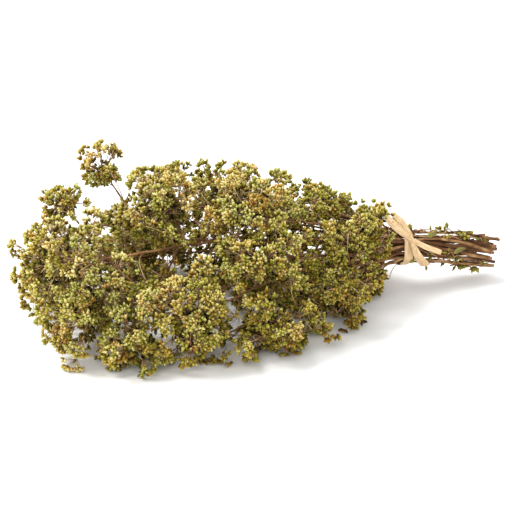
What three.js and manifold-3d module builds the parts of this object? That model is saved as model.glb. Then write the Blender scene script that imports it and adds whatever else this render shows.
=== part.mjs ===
// A bunch of dried oregano, lying on its side: cut stems held by two strips of raffia, each stem
// ending in a flower head that is a cluster of rounded clumps.
//
// Millimetres, +Z up, the table at z = 0. The stems run along X: the cut ends are at +X and the
// flower heads at -X. The whole bunch is centred over the origin at the end.
import * as THREE from 'three';
import { mergeVertices } from 'three/addons/utils/BufferGeometryUtils.js';
import Module from 'manifold-3d';

const wasm = await Module();
wasm.setup();

// ---- driving dimensions --------------------------------------------------------------------------
const TIE_X = 93;                 // where the raffia holds the stems
const WAIST_RADIUS = 11.2;        // the outermost stem's centre line, at the tie
const STEM_RADIUS = [0.85, 1.2];  // thinnest and thickest stem
const STEM_SIDES = 5;
const TUNNEL_SIDES = 4;           // a stem's way through a flower head is a square hole
const STEM_STEPS = 10;
const CUT_END_X = [148, 169];     // nearest and farthest cut end
const CUT_END_SPLAY = 1.12;       // how much the stems open again from the tie to the cut ends
const CUT_END_TWIST = 0.8;        // how far they turn round each other from the tie to there, in radians
const STEM_WOBBLE = 0.5;          // how far a stem strays from its own line, at the tie
const GAP = 0.3;                  // clear space between neighbouring pieces
const FAN_MARGIN = 2.6;           // room round the inner stems where they pass under the heads
const FAN_END_X = -46;            // past here the heads close round single stems
const FAN_SIDES = 10;
const GOLDEN_ANGLE = Math.PI * (3 - Math.sqrt(5));
const FIRST_LANE_ANGLE = 1.2;     // turns the whole pattern of stems at the tie, in radians
const WAVER_LENGTHS = [13, 11];   // how slowly a stem strays, sideways and upwards
const WIDEST_WAVER = 2.2;         // how much more than at the tie a stem may stray

// The tiers of flower heads, from the tie outwards. reach is the tier's distance from the bunch's
// middle line, sideways and upwards, and head is the radius of one flower head.
const TIERS = [
  { x: 67, count: 4, reach: [24, 17], head: 15 },
  { x: 32, count: 6, reach: [43, 24], head: 20 },
  { x: -14, count: 6, reach: [62, 31], head: 24 },
  { x: -70, count: 6, reach: [70, 36], head: 26 },
  { x: -128, count: 5, reach: [54, 24], head: 27 },
];
const STEM_COUNT = TIERS.reduce((sum, tier) => sum + tier.count, 0);

const SIDE_SAG = 15;              // how far the stems at the sides droop, that far out from the middle
const SAG_REACH = 62;

// Three heads stand off from the rest, each where its stem leaves the fan: two small ones high at
// the back and one low at the front.
const STRAYS = {
  18: { end: new THREE.Vector3(-103, 48, 86), head: 13 },
  23: { end: new THREE.Vector3(-132, 38, 69), head: 13 },
  27: { end: new THREE.Vector3(-112, -60, 17), head: 20 },
};
const STRAY_LENGTH = 50;          // the last stretch of a stray's stem, where it leaves the fan

// The height of the bunch's middle line: low at the cut ends, higher in the flowers.
const MIDDLE_LINE = new THREE.SplineCurve([
  new THREE.Vector2(-180, 34), new THREE.Vector2(-110, 39), new THREE.Vector2(-40, 41),
  new THREE.Vector2(30, 37), new THREE.Vector2(TIE_X, 31), new THREE.Vector2(180, 18),
]);

const TIER_SHIFT = 12;            // how far a head may lie from its tier, along the bunch
const HEAD_SHARE = [0.9, 1.08];   // smallest and largest head, of its tier's size
const HEAD_DIRECTION_RUN = 14;    // a head points along its stem's last stretch, which is this long
const CLUMPS_AROUND = 5;          // clumps round a head, with one more at its tip
const CLUMP_RADIUS = 0.6;         // of the head's radius, as are the next five
const CLUMP_SPREAD = 0.6;
const CLUMP_STAGGER = 0.26;
const TIP_REACH = 0.62;
const CORE_RADIUS = 0.46;
const CORE_AHEAD = 0.25;          // how far past the stem's end the head's middle lies

const RAFFIA_THICKNESS = 0.8;
const BAND_WIDTH = 2.4;           // each strip, gathered where it goes round the stems
const END_WIDTH = 3.6;            // each strip, spread out at its free ends
const BAND_CLEARANCE = 0.8;       // outside the outermost stem
const KNOT_RADIUS = 2.7;
const KNOT_ANGLE = 130;           // degrees round the stems, from +Y towards +Z
const KNOT_CLEARANCE = 0.4;       // between one strip's knot and the other strip
const END_SUNK = 0.3;             // a free end's middle starts this far out from its band's inner face
const LEAF_THICKNESS = 0.7;
const LEAF_CURL = [0.3, 0.25];    // how far it lifts at the tips and at the edges, of its length and width

const COLOURS = {
  head: [0x8d8448, 0x7f7a40, 0x999052, 0x746d38],
  stem: [0x7a4f35, 0x8b6443, 0x6b4230],
  leaf: 0x7d7443,
  raffia: 0xd9b383,
};

// ---- small helpers -------------------------------------------------------------------------------
const clamp = THREE.MathUtils.clamp;
const lerp = THREE.MathUtils.lerp;
const smoothstep = THREE.MathUtils.smoothstep;

// The same run of numbers from 0 to 1 every time.
function seededRandom(seed) {
  let state = seed;
  return () => {
    state = (state * 1664525 + 1013904223) % 4294967296;
    return state / 4294967296;
  };
}

function middleHeight(x) {
  const points = MIDDLE_LINE.points;
  const i = clamp(points.findIndex((p) => p.x >= x), 1, points.length - 1);
  const [a, b] = [points[i - 1], points[i]];
  const t = (i - 1 + clamp((x - a.x) / (b.x - a.x), 0, 1)) / (points.length - 1);
  return MIDDLE_LINE.getPoint(t).y;
}

function toSolid(geometry) {
  const bare = geometry.clone();
  bare.deleteAttribute('normal');
  bare.deleteAttribute('uv');
  const merged = mergeVertices(bare, 1e-4);
  return new wasm.Manifold(new wasm.Mesh({
    numProp: 3,
    vertProperties: new Float32Array(merged.attributes.position.array),
    triVerts: new Uint32Array(merged.index.array),
  }));
}

function toGeometry(solid) {
  const mesh = solid.getMesh();
  const geometry = new THREE.BufferGeometry();
  geometry.setAttribute('position', new THREE.BufferAttribute(mesh.vertProperties, 3));
  geometry.setIndex(new THREE.BufferAttribute(mesh.triVerts, 1));
  const faceted = geometry.toNonIndexed();
  faceted.computeVertexNormals();
  return faceted;
}

// The biggest of the separate bodies that a cut leaves.
function biggest(solid) {
  return solid.decompose().reduce((a, b) => (b.volume() > a.volume() ? b : a));
}

// ---- stems ---------------------------------------------------------------------------------------
// Each stem has its own lane through the tie, on a sunflower spiral: the outermost lanes belong to
// the tier nearest the tie. All lanes open out together towards the flowers, so no two stems cross.
function laneAtTie(lane) {
  const radius = WAIST_RADIUS * Math.sqrt((lane + 0.5) / (STEM_COUNT - 0.5));
  const angle = lane * GOLDEN_ANGLE + FIRST_LANE_ANGLE;
  return new THREE.Vector2(Math.cos(angle), Math.sin(angle)).multiplyScalar(radius);
}

const LANE_CENTRE = new THREE.Vector2();

// How many times wider than at the tie the lanes lie at x, sideways and upwards.
const OPENING = (() => {
  const stations = [{ x: TIE_X, open: [1, 1] }];
  let outermost = STEM_COUNT - 1;
  for (const tier of TIERS) {
    const middleLane = outermost - (tier.count - 1) / 2;
    const radius = WAIST_RADIUS * Math.sqrt((middleLane + 0.5) / (STEM_COUNT - 0.5));
    stations.push({ x: tier.x, open: tier.reach.map((reach) => reach / radius) });
    outermost -= tier.count;
  }
  return stations;
})();

function openingAt(x) {
  if (x >= TIE_X) {
    const splay = lerp(1, CUT_END_SPLAY, (x - TIE_X) / (CUT_END_X[1] - TIE_X));
    return [splay, splay];
  }
  const last = OPENING.length - 1;
  const i = clamp(OPENING.findIndex((s) => s.x <= x), 1, last);
  const [a, b] = [OPENING[i - 1], OPENING[i]];
  const t = Math.max(0, (a.x - x) / (a.x - b.x));
  return [0, 1].map((k) => lerp(a.open[k], b.open[k], t));
}

function sagAt(y) {
  return SIDE_SAG * (y / SAG_REACH) ** 2;
}

function planSprigs() {
  const random = seededRandom(11);
  const sprigs = [];
  let lane = STEM_COUNT - 1;
  for (const tier of TIERS) {
    for (let i = 0; i < tier.count; i++) {
      const stray = STRAYS[sprigs.length + 1];
      const shift = (random() - 0.5) * 2 * TIER_SHIFT;
      const size = lerp(...HEAD_SHARE, random());
      sprigs.push({
        name: String(sprigs.length + 1).padStart(2, '0'),
        lane: laneAtTie(lane),
        radius: lerp(...STEM_RADIUS, random()),
        headX: stray ? stray.end.x : tier.x + shift,
        headRadius: stray ? stray.head : tier.head * size,
        strayEnd: stray?.end,
        cutX: lerp(...CUT_END_X, random()),
        phase: [random() * 2 * Math.PI, random() * 2 * Math.PI],
        turn: random() * 2 * Math.PI,
      });
      lane--;
    }
  }
  return sprigs;
}

// A point on a stem's centre line: its lane opened by the fan, with a slow waver of its own. Beyond
// the tie all the lanes turn together round their middle, faster and faster.
function stemPoint(sprig, x) {
  const [across, upwards] = openingAt(x);
  const waver = STEM_WOBBLE * Math.min(across, WIDEST_WAVER);
  const pastTie = Math.max(0, (x - TIE_X) / (CUT_END_X[1] - TIE_X));
  const lane = sprig.lane.clone().rotateAround(LANE_CENTRE, CUT_END_TWIST * pastTie ** 2);
  const y = lane.x * across;
  const z = middleHeight(x) + lane.y * upwards - sagAt(y);
  const point = new THREE.Vector3(x, y, z);
  if (sprig.strayEnd) {
    const inFan = smoothstep(x, sprig.headX, sprig.headX + STRAY_LENGTH);
    point.lerp(new THREE.Vector3(x, sprig.strayEnd.y, sprig.strayEnd.z), 1 - inFan);
  }
  point.y += waver * Math.sin(x / WAVER_LENGTHS[0] + sprig.phase[0]);
  point.z += waver * Math.sin(x / WAVER_LENGTHS[1] + sprig.phase[1]);
  return point;
}

function stemPath(sprig, overshoot = 0) {
  const points = [];
  const count = STEM_STEPS + 1;
  for (let i = 0; i < count; i++) {
    points.push(stemPoint(sprig, lerp(sprig.cutX, sprig.headX, i / (count - 1))));
  }
  if (overshoot > 0) {
    const tangent = points[count - 1].clone().sub(points[count - 2]).normalize();
    points[count - 1].addScaledVector(tangent, overshoot);
    const start = points[0].clone().sub(points[1]).normalize();
    points[0].addScaledVector(start, overshoot);
  }
  return new THREE.CatmullRomCurve3(points);
}

function tube(path, radius, sides) {
  const corners = [];
  for (let i = 0; i < sides; i++) {
    const angle = (i / sides) * 2 * Math.PI;
    corners.push(new THREE.Vector2(radius * Math.cos(angle), radius * Math.sin(angle)));
  }
  return new THREE.ExtrudeGeometry(new THREE.Shape(corners), { steps: STEM_STEPS, extrudePath: path });
}

function stemGeometry(sprig) {
  return tube(stemPath(sprig), sprig.radius, STEM_SIDES);
}

// The way a stem needs through the flower heads: its flats stand clear of the stem by the gap.
function tunnelSolid(sprig) {
  const flat = sprig.radius + GAP;
  return toSolid(tube(stemPath(sprig, 2 * GAP), flat / Math.cos(Math.PI / TUNNEL_SIDES), TUNNEL_SIDES));
}

// The widening cone that the inner stems fill behind the tie. The heads lie round it.
function stemFanSolid() {
  const stations = OPENING.filter((station) => station.x > FAN_END_X).map((station) => station.x);
  stations.push(FAN_END_X);
  const positions = [];
  stations.forEach((x) => {
    const innerLanes = sprigs.filter((sprig) => sprig.headX < x - TIER_SHIFT);
    const widest = Math.max(...innerLanes.map((sprig) => sprig.lane.length()));
    const [across, upwards] = openingAt(x);
    for (let i = 0; i < FAN_SIDES; i++) {
      const angle = (i / FAN_SIDES) * 2 * Math.PI;
      const y = Math.cos(angle) * (widest * across + FAN_MARGIN);
      const z = middleHeight(x) + Math.sin(angle) * (widest * upwards + FAN_MARGIN);
      positions.push(x, y, z - sagAt(y));
    }
  });
  const faces = [];
  for (let ring = 0; ring + 1 < stations.length; ring++) {
    for (let i = 0; i < FAN_SIDES; i++) {
      const [a, b] = [ring * FAN_SIDES + i, ring * FAN_SIDES + ((i + 1) % FAN_SIDES)];
      faces.push(a, a + FAN_SIDES, b, b, a + FAN_SIDES, b + FAN_SIDES);
    }
  }
  const lastRing = (stations.length - 1) * FAN_SIDES;
  for (let i = 1; i + 1 < FAN_SIDES; i++) {
    faces.push(0, i, i + 1);
    faces.push(lastRing, lastRing + i + 1, lastRing + i);
  }
  const geometry = new THREE.BufferGeometry();
  geometry.setAttribute('position', new THREE.Float32BufferAttribute(positions, 3));
  geometry.setIndex(faces);
  return toSolid(geometry);
}

// ---- flower heads --------------------------------------------------------------------------------
function clumpsOf(sprig) {
  const end = stemPoint(sprig, sprig.headX);
  const along = end.clone().sub(stemPoint(sprig, sprig.headX + HEAD_DIRECTION_RUN)).normalize();
  const side = new THREE.Vector3(0, 0, 1).cross(along).normalize();
  const up = along.clone().cross(side);
  const R = sprig.headRadius;
  const middle = end.clone().addScaledVector(along, CORE_AHEAD * R);
  const clumps = [
    { centre: middle.clone(), radius: CORE_RADIUS * R },
    { centre: middle.clone().addScaledVector(along, TIP_REACH * R), radius: CLUMP_RADIUS * R },
  ];
  for (let i = 0; i < CLUMPS_AROUND; i++) {
    const angle = sprig.turn + (i / CLUMPS_AROUND) * 2 * Math.PI;
    const stagger = (i % 2 ? -1 : 1) * CLUMP_STAGGER * R;
    clumps.push({
      centre: middle.clone()
        .addScaledVector(side, Math.cos(angle) * CLUMP_SPREAD * R)
        .addScaledVector(up, Math.sin(angle) * CLUMP_SPREAD * R)
        .addScaledVector(along, stagger),
      radius: CLUMP_RADIUS * R,
    });
  }
  return clumps;
}

// A clump is a rough ball. Where it would run into a clump of another head, both are cut back to a
// flat between them.
function clumpSolid(clump, strangers, turn) {
  const geometry = new THREE.IcosahedronGeometry(clump.radius);
  geometry.rotateX(turn).rotateY(turn * 1.7);
  geometry.translate(clump.centre.x, clump.centre.y, clump.centre.z);
  let solid = toSolid(geometry);
  for (const other of strangers) {
    const away = clump.centre.clone().sub(other.centre);
    const distance = away.length();
    if (distance > clump.radius + other.radius) continue;
    const share = (distance ** 2 + other.radius ** 2 - clump.radius ** 2) / (2 * distance);
    away.divideScalar(distance);
    const offset = away.dot(other.centre) + share + GAP / 2;
    solid = solid.trimByPlane(away.toArray(), offset);
  }
  return solid;
}

const sprigs = planSprigs();
for (const sprig of sprigs) sprig.clumps = clumpsOf(sprig);

function headSolid(sprig, tunnels) {
  const strangers = sprigs.filter((other) => other !== sprig).flatMap((other) => other.clumps);
  let head = null;
  sprig.clumps.forEach((clump, i) => {
    const solid = clumpSolid(clump, strangers, sprig.turn + i);
    if (solid.isEmpty()) return;
    head = head ? head.add(solid) : solid;
  });
  head = head.subtract(fan);
  for (const tunnel of tunnels) head = head.subtract(tunnel);
  return biggest(head.trimByPlane([0, 0, 1], 0));
}

// ---- raffia --------------------------------------------------------------------------------------
// A point beside the stems: so far along, so many degrees round, so far out from their middle.
function beside(x, degrees, radius) {
  const angle = THREE.MathUtils.degToRad(degrees);
  return new THREE.Vector3(x, Math.cos(angle) * radius, middleHeight(x) + Math.sin(angle) * radius);
}

const BAND_INNER = WAIST_RADIUS + STEM_RADIUS[1] + STEM_WOBBLE + BAND_CLEARANCE;
const BAND_OUTER = BAND_INNER + RAFFIA_THICKNESS;
const BAND_START = BAND_INNER + END_SUNK;
const RAFFIA_STRIPS = [
  {
    name: 'raffia_strip_left',
    bandX: TIE_X - BAND_WIDTH - GAP / 2,
    hasKnot: true,
    ends: [
      [[91, 128, BAND_START], [88, 123, 20], [85, 120, 26], [82, 117, 32]],
      [[91, 138, BAND_START], [90.4, 160, 17], [92.5, 188, 18.4], [98, 212, 19]],
    ],
  },
  {
    name: 'raffia_strip_right',
    bandX: TIE_X + GAP / 2,
    hasKnot: false,
    ends: [
      [[94.3, 112, BAND_START], [93, 112, 20], [91, 111, 26], [88.5, 109, 33]],
      [[94.6, 148, BAND_START], [102, 157, 17], [110, 172, 18], [117, 187, 19]],
    ],
  },
];

function bandSolid(bandX) {
  const band = new THREE.Shape().absarc(0, 0, BAND_OUTER, 0, 2 * Math.PI);
  band.holes.push(new THREE.Path().absarc(0, 0, BAND_INNER, 0, 2 * Math.PI, true));
  const geometry = new THREE.ExtrudeGeometry(band, {
    depth: BAND_WIDTH, bevelEnabled: false, curveSegments: 12,
  });
  geometry.rotateY(Math.PI / 2);
  geometry.translate(bandX, 0, middleHeight(TIE_X));
  return toSolid(geometry);
}

// A free end is a flat ribbon that follows its path with its face to the stems.
function freeEndSolid(stations) {
  const path = new THREE.CatmullRomCurve3(stations.map((station) => beside(...station)));
  const [halfWidth, halfThickness] = [END_WIDTH / 2, RAFFIA_THICKNESS / 2];
  const steps = 6;
  const positions = [];
  for (let i = 0; i <= steps; i++) {
    const centre = path.getPoint(i / steps);
    const along = path.getTangent(i / steps);
    const outward = new THREE.Vector3(0, centre.y, centre.z - middleHeight(centre.x));
    const width = along.clone().cross(outward).normalize();
    const face = width.clone().cross(along);
    for (const [u, v] of [[-1, -1], [1, -1], [1, 1], [-1, 1]]) {
      const corner = centre.clone().addScaledVector(width, u * halfWidth);
      corner.addScaledVector(face, v * halfThickness);
      positions.push(...corner.toArray());
    }
  }
  const faces = [];
  for (let i = 0; i < steps; i++) {
    for (let k = 0; k < 4; k++) {
      const [a, b] = [4 * i + k, 4 * i + ((k + 1) % 4)];
      faces.push(a, a + 4, b, b, a + 4, b + 4);
    }
  }
  const last = 4 * steps;
  faces.push(0, 1, 2, 0, 2, 3, last, last + 2, last + 1, last, last + 3, last + 2);
  const geometry = new THREE.BufferGeometry();
  geometry.setAttribute('position', new THREE.Float32BufferAttribute(positions, 3));
  geometry.setIndex(faces);
  return toSolid(geometry);
}

function knotSolid(radius) {
  const geometry = new THREE.IcosahedronGeometry(radius);
  const centre = beside(TIE_X - BAND_WIDTH / 2, KNOT_ANGLE, BAND_OUTER + KNOT_RADIUS / 3);
  geometry.translate(centre.x, centre.y, centre.z);
  return toSolid(geometry);
}

function stripSolid(strip) {
  let solid = bandSolid(strip.bandX);
  for (const stations of strip.ends) solid = solid.add(freeEndSolid(stations));
  if (strip.hasKnot) {
    solid = solid.add(knotSolid(KNOT_RADIUS).trimByPlane([1, 0, 0], 0).trimByPlane([-1, 0, 0], -(TIE_X + 1)));
  } else {
    solid = solid.subtract(knotSolid(KNOT_RADIUS + KNOT_CLEARANCE));
  }
  return biggest(solid);
}

// ---- leaves --------------------------------------------------------------------------------------
// Small dried leaves that still sit on the bare stems, curled lengthways. radius is how far from the
// middle of the stems each one lies.
const LEAVES = [
  { name: 'leaf_01', x: 112, degrees: 118, radius: 12.0, length: 11, width: 4.6, heading: 24 },
  { name: 'leaf_02', x: 139, degrees: 96, radius: 12.8, length: 9, width: 4, heading: -35 },
  { name: 'leaf_03', x: 131, degrees: 168, radius: 11.7, length: 10, width: 4.2, heading: 15 },
  { name: 'leaf_04', x: 138, degrees: 232, radius: 12.8, length: 12, width: 4.8, heading: -12 },
];

function leafGeometry(leaf) {
  const outline = new THREE.Shape();
  outline.moveTo(-leaf.length / 2, 0);
  outline.quadraticCurveTo(-leaf.length * 0.1, -leaf.width, leaf.length / 2, 0);
  outline.quadraticCurveTo(-leaf.length * 0.1, leaf.width, -leaf.length / 2, 0);
  const geometry = new THREE.ExtrudeGeometry(outline, {
    depth: LEAF_THICKNESS, bevelEnabled: false, curveSegments: 5,
  });
  const position = geometry.attributes.position;
  for (let i = 0; i < position.count; i++) {
    const [u, v] = [position.getX(i) / leaf.length, position.getY(i) / leaf.width];
    position.setZ(i, position.getZ(i) + leaf.length * LEAF_CURL[0] * u * u + leaf.width * LEAF_CURL[1] * v * v);
  }
  geometry.rotateZ(THREE.MathUtils.degToRad(leaf.heading));
  geometry.rotateX(THREE.MathUtils.degToRad(leaf.degrees - 90));
  const centre = beside(leaf.x, leaf.degrees, leaf.radius);
  geometry.translate(centre.x, centre.y, centre.z);
  return geometry;
}

// ---- assembly ------------------------------------------------------------------------------------
const bunch = new THREE.Group();

function addPiece(name, geometry, colour, roughness) {
  const material = new THREE.MeshStandardMaterial({ color: colour, roughness, metalness: 0 });
  const mesh = new THREE.Mesh(geometry, material);
  mesh.name = name;
  bunch.add(mesh);
}

const fan = stemFanSolid();
const tunnels = sprigs.map(tunnelSolid);
sprigs.forEach((sprig, i) => {
  addPiece(`stem_${sprig.name}`, stemGeometry(sprig), COLOURS.stem[i % 3], 0.85);
  addPiece(`head_${sprig.name}`, toGeometry(headSolid(sprig, tunnels)), COLOURS.head[i % 4], 0.95);
});

RAFFIA_STRIPS.forEach((strip) => addPiece(strip.name, toGeometry(stripSolid(strip)), COLOURS.raffia, 0.7));
LEAVES.forEach((leaf) => addPiece(leaf.name, leafGeometry(leaf), COLOURS.leaf, 0.9));

// The origin is on the table, under the middle of the bunch.
const extent = new THREE.Box3().setFromObject(bunch);
const middle = extent.getCenter(new THREE.Vector3());
bunch.position.set(-middle.x, -middle.y, -extent.min.z);

export default bunch;
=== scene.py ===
"""A bunch of dried oregano lying on its side: flower heads, bare stems, stray leaves and a raffia tie.

Lengths in this script are in millimetres and are turned to metres when a mesh is made.
"""
import logging
import math
from dataclasses import dataclass, field
from enum import Enum

import bpy
import numpy as np
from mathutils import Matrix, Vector


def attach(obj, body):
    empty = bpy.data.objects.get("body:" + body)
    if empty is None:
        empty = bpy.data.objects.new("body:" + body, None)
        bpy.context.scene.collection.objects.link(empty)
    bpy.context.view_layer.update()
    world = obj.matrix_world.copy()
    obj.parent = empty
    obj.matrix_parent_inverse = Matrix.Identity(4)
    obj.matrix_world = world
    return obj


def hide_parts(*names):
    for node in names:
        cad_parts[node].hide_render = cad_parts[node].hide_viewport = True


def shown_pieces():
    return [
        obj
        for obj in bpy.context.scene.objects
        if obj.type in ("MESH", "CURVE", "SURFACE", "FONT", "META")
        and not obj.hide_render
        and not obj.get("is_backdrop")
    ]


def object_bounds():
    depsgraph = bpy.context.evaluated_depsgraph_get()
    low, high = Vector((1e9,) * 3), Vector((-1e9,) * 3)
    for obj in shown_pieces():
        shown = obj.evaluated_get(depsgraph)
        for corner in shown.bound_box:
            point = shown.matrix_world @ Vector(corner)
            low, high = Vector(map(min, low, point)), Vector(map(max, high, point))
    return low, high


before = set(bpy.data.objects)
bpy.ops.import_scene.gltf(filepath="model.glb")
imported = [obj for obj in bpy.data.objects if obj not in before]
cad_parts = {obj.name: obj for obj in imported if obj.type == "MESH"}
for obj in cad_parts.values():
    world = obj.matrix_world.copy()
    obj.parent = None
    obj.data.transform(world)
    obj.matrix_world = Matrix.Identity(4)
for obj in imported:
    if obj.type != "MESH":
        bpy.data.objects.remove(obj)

CAD_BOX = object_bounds()
MM = 0.001
PALETTE_MAP = "OFBake"
BODY = "root"
OUTLINE_GAP = 4.8
OUTLINE_PRESS = 3.6
LONERS = (18, 23, 27)  # heads that stand off from the mass
BUNCH_END = CAD_BOX[0][0] / MM  # the flower end, along X

log = logging.getLogger("oregano")


class Slot(Enum):
    """The record's material slots."""

    STEM = "stem"
    FLOWER_HEAD = "flower_head"
    RAFFIA = "raffia"
    LEAF = "leaf"


# ---- arrays and curves ----------------------------------------------------------------------------
def unit(vectors: np.ndarray) -> np.ndarray:
    """Each vector divided by its own length."""
    return vectors / np.maximum(np.linalg.norm(vectors, axis=-1, keepdims=True), 1e-9)


def shade(hex_colour: str) -> tuple[float, float, float, float]:
    """A display colour as the linear colour that a shader takes.

    Args:
        hex_colour: six hexadecimal digits, such as "a89c5a".

    Returns:
        Linear red, green, blue and an alpha of one.
    """
    parts = [int(hex_colour[i : i + 2], 16) / 255.0 for i in (0, 2, 4)]
    linear = [c / 12.92 if c <= 0.04045 else ((c + 0.055) / 1.055) ** 2.4 for c in parts]
    return (linear[0], linear[1], linear[2], 1.0)


def spline(points: np.ndarray, count: int) -> np.ndarray:
    """A Catmull-Rom curve: between two points it is the cubic whose slope at each is half the step
    between that point's two neighbours.

    Args:
        points: the points it passes through, one a row.
        count: how many points to return, evenly spread over the steps.

    Returns:
        The points on the curve, one a row.
    """
    points = np.asarray(points, float)
    padded = np.vstack([2 * points[0] - points[1], points, 2 * points[-1] - points[-2]])
    t = np.linspace(0, len(points) - 1, count)
    i = np.minimum(t.astype(int), len(points) - 2)
    f = (t - i)[:, None]
    a, b, c, d = padded[i], padded[i + 1], padded[i + 2], padded[i + 3]
    return 0.5 * (2 * b + (c - a) * f + (2 * a - 5 * b + 4 * c - d) * f**2 + (3 * b - a - 3 * c + d) * f**3)


def bezier(start: np.ndarray, middle: np.ndarray, end: np.ndarray, count: int) -> np.ndarray:
    """Quadratic Bezier curves, many at once.

    Args:
        start: where each curve starts, one a row.
        middle: the point that each bends towards.
        end: where each ends.
        count: points along each curve.

    Returns:
        An array of curves by points by three.
    """
    t = np.linspace(0, 1, count)[None, :, None]
    return (1 - t) ** 2 * start[:, None] + 2 * t * (1 - t) * middle[:, None] + t**2 * end[:, None]


def frames_along(paths: np.ndarray) -> tuple[np.ndarray, np.ndarray, np.ndarray]:
    """The direction of each path at each point, and two directions square to it.

    Args:
        paths: paths by points by three.

    Returns:
        Along, side and up, each shaped like paths, with side x up = along.
    """
    along = unit(np.gradient(paths, axis=1))
    overall = np.abs(along.mean(1))
    reference = np.eye(3)[np.argmin(overall, axis=-1)][:, None, :]
    side = unit(np.cross(along, np.broadcast_to(reference, along.shape)))
    return along, side, np.cross(along, side)


@dataclass
class Surface:
    """Triangles with a palette place for each corner: tone, and how near the tip or the surface, which on the
    blooms is painted shade and light.
    """

    points: np.ndarray
    triangles: np.ndarray
    palette: np.ndarray


@dataclass
class Fabric:
    """A mesh being gathered from many surfaces."""

    surfaces: list[Surface] = field(default_factory=list)

    def add(self, surface: Surface) -> None:
        """Adds one surface to the mesh."""
        self.surfaces.append(surface)

    def piece(self, name: str, slot: Slot, material: bpy.types.Material,
              nodes: list[str]) -> bpy.types.Object:
        """Makes the object, in metres, riding on the bunch and standing for its CAD nodes.

        Args:
            name: the object's name.
            slot: the record's material slot; not used.
            material: its finish.
            nodes: the CAD nodes that it stands for.

        Returns:
            The new object.
        """
        starts = np.cumsum([0] + [len(s.points) for s in self.surfaces[:-1]])
        points = np.vstack([s.points for s in self.surfaces]) * MM
        triangles = np.vstack([s.triangles + start for s, start in zip(self.surfaces, starts)])
        palette = np.vstack([s.palette for s in self.surfaces])
        mesh = bpy.data.meshes.new(name)
        mesh.vertices.add(len(points))
        mesh.vertices.foreach_set("co", points.astype(np.float32).ravel())
        mesh.loops.add(triangles.size)
        mesh.loops.foreach_set("vertex_index", triangles.astype(np.int32).ravel())
        mesh.polygons.add(len(triangles))
        mesh.polygons.foreach_set("loop_start", np.arange(0, triangles.size, 3, dtype=np.int32))
        mesh.update(calc_edges=True)
        layer = mesh.uv_layers.new(name=PALETTE_MAP)
        layer.data.foreach_set("uv", palette[triangles.ravel()].astype(np.float32).ravel())
        mesh.materials.append(material)
        made = bpy.data.objects.new(name, mesh)
        bpy.context.scene.collection.objects.link(made)
        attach(made, BODY)
        if nodes:
            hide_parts(*nodes)
        log.info("%s: %d triangles", name, len(triangles))
        return made


def smooth(piece: bpy.types.Object) -> None:
    """Shades a piece smooth."""
    piece.data.polygons.foreach_set("use_smooth", np.ones(len(piece.data.polygons), bool))


def rods(paths: np.ndarray, radii: np.ndarray, sides: int, tone: np.ndarray, depth: np.ndarray) -> Surface:
    """Round rods along paths: at each point a ring of the given radius stands square to the path,
    rings are joined by quads, and both ends are closed by a fan.

    Args:
        paths: rods by points by three.
        radii: rods by points, or rods by points by sides where the section isn't round.
        sides: corners of a ring.
        tone: rods by points, the first palette number.
        depth: rods by points, the second palette number.

    Returns:
        All the rods as one surface.
    """
    count, steps = paths.shape[:2]
    _, side, up = frames_along(paths)
    angle = np.linspace(0, 2 * math.pi, sides, endpoint=False)
    sideways = side[:, :, None] * np.cos(angle)[None, None, :, None]
    spokes = sideways + up[:, :, None] * np.sin(angle)[None, None, :, None]
    reach = radii[..., None, None] if radii.ndim == 2 else radii[..., None]
    rings = paths[:, :, None] + spokes * reach
    points = np.concatenate([rings.reshape(count, -1, 3), paths[:, :1], paths[:, -1:]], axis=1)
    ring = np.arange(sides)
    after = (ring + 1) % sides
    base = (np.arange(steps - 1) * sides)[:, None]
    a, b = base + ring, base + after
    walls = np.stack([a, b, b + sides, a, b + sides, a + sides], -1).reshape(-1, 3)
    last, centre = (steps - 1) * sides, steps * sides
    start_cap = np.stack([np.full(sides, centre), after, ring], -1)
    end_cap = np.stack([np.full(sides, centre + 1), last + ring, last + after], -1)
    one = np.vstack([walls, start_cap, end_cap])
    offsets = (np.arange(count) * points.shape[1])[:, None, None]
    palette = np.stack([np.repeat(tone, sides, axis=1), np.repeat(depth, sides, axis=1)], -1)
    ends = np.stack([tone[:, [0, -1]], depth[:, [0, -1]]], -1)
    palette = np.concatenate([palette, ends], axis=1)
    return Surface(points.reshape(-1, 3), (one[None] + offsets).reshape(-1, 3), palette.reshape(-1, 2))


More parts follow.
